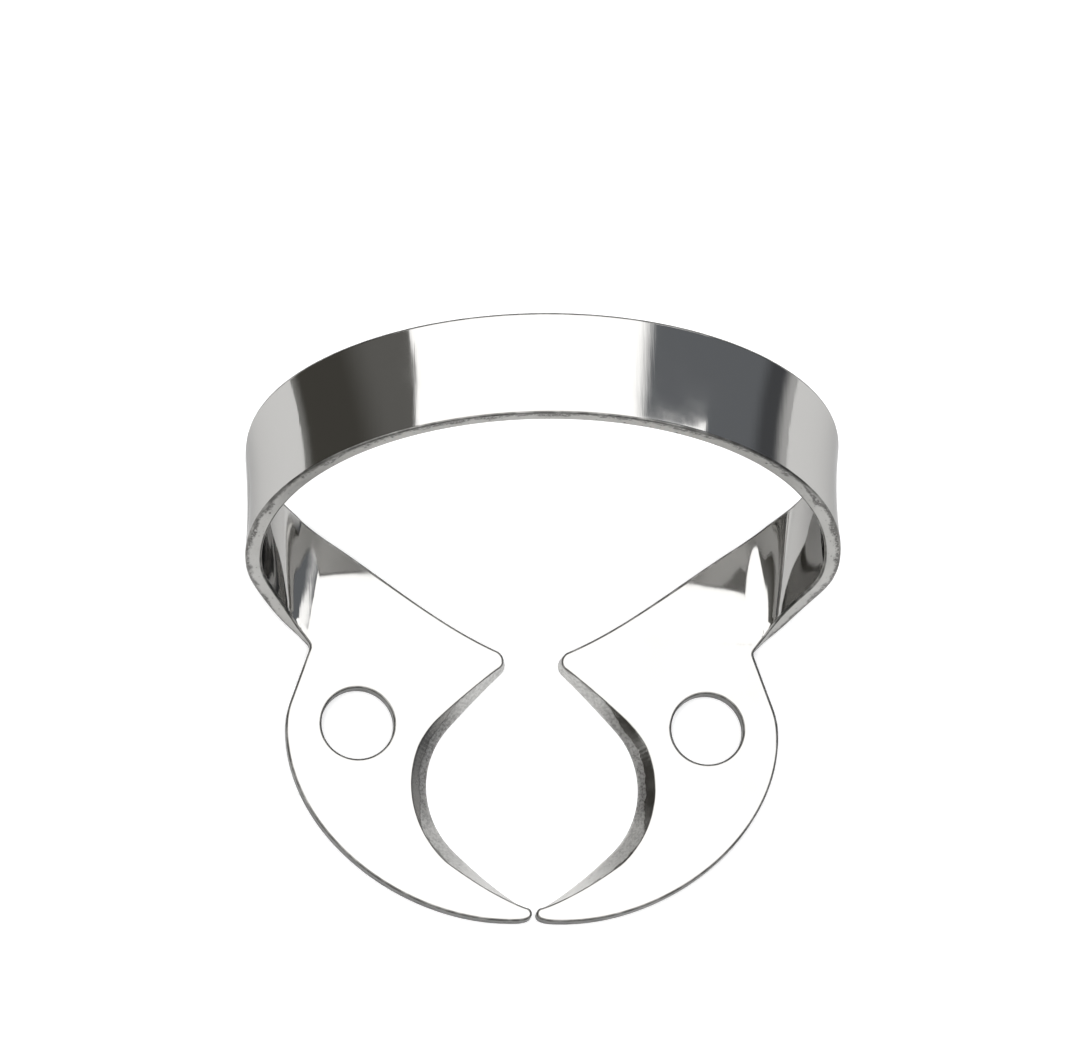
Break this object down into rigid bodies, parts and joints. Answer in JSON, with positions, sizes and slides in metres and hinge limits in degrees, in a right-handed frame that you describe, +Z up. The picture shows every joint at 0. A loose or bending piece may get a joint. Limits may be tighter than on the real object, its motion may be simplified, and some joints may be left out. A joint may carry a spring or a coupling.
{
  "type": "rubber dam clamp",
  "caption": "Spring-steel dental clamp: flat jaws with forceps holes and a ground tooth recess, joined by a leaning bow.",
  "frame": {"origin": "on the jaws' flat underside, at the middle of the clamp's width and length", "axes": "+X across the two jaws, +Y from the jaws' tips back to the bow, +Z up from the flat jaws"},
  "size_m": [0.027, 0.0248, 0.0148],
  "materials": {
    "steel": "mirror-polished stainless spring steel, with rough sheared edges and a ground bevel"
  },
  "bodies": {
    "root": {"clamp": "steel"}
  },
  "joints": []
}
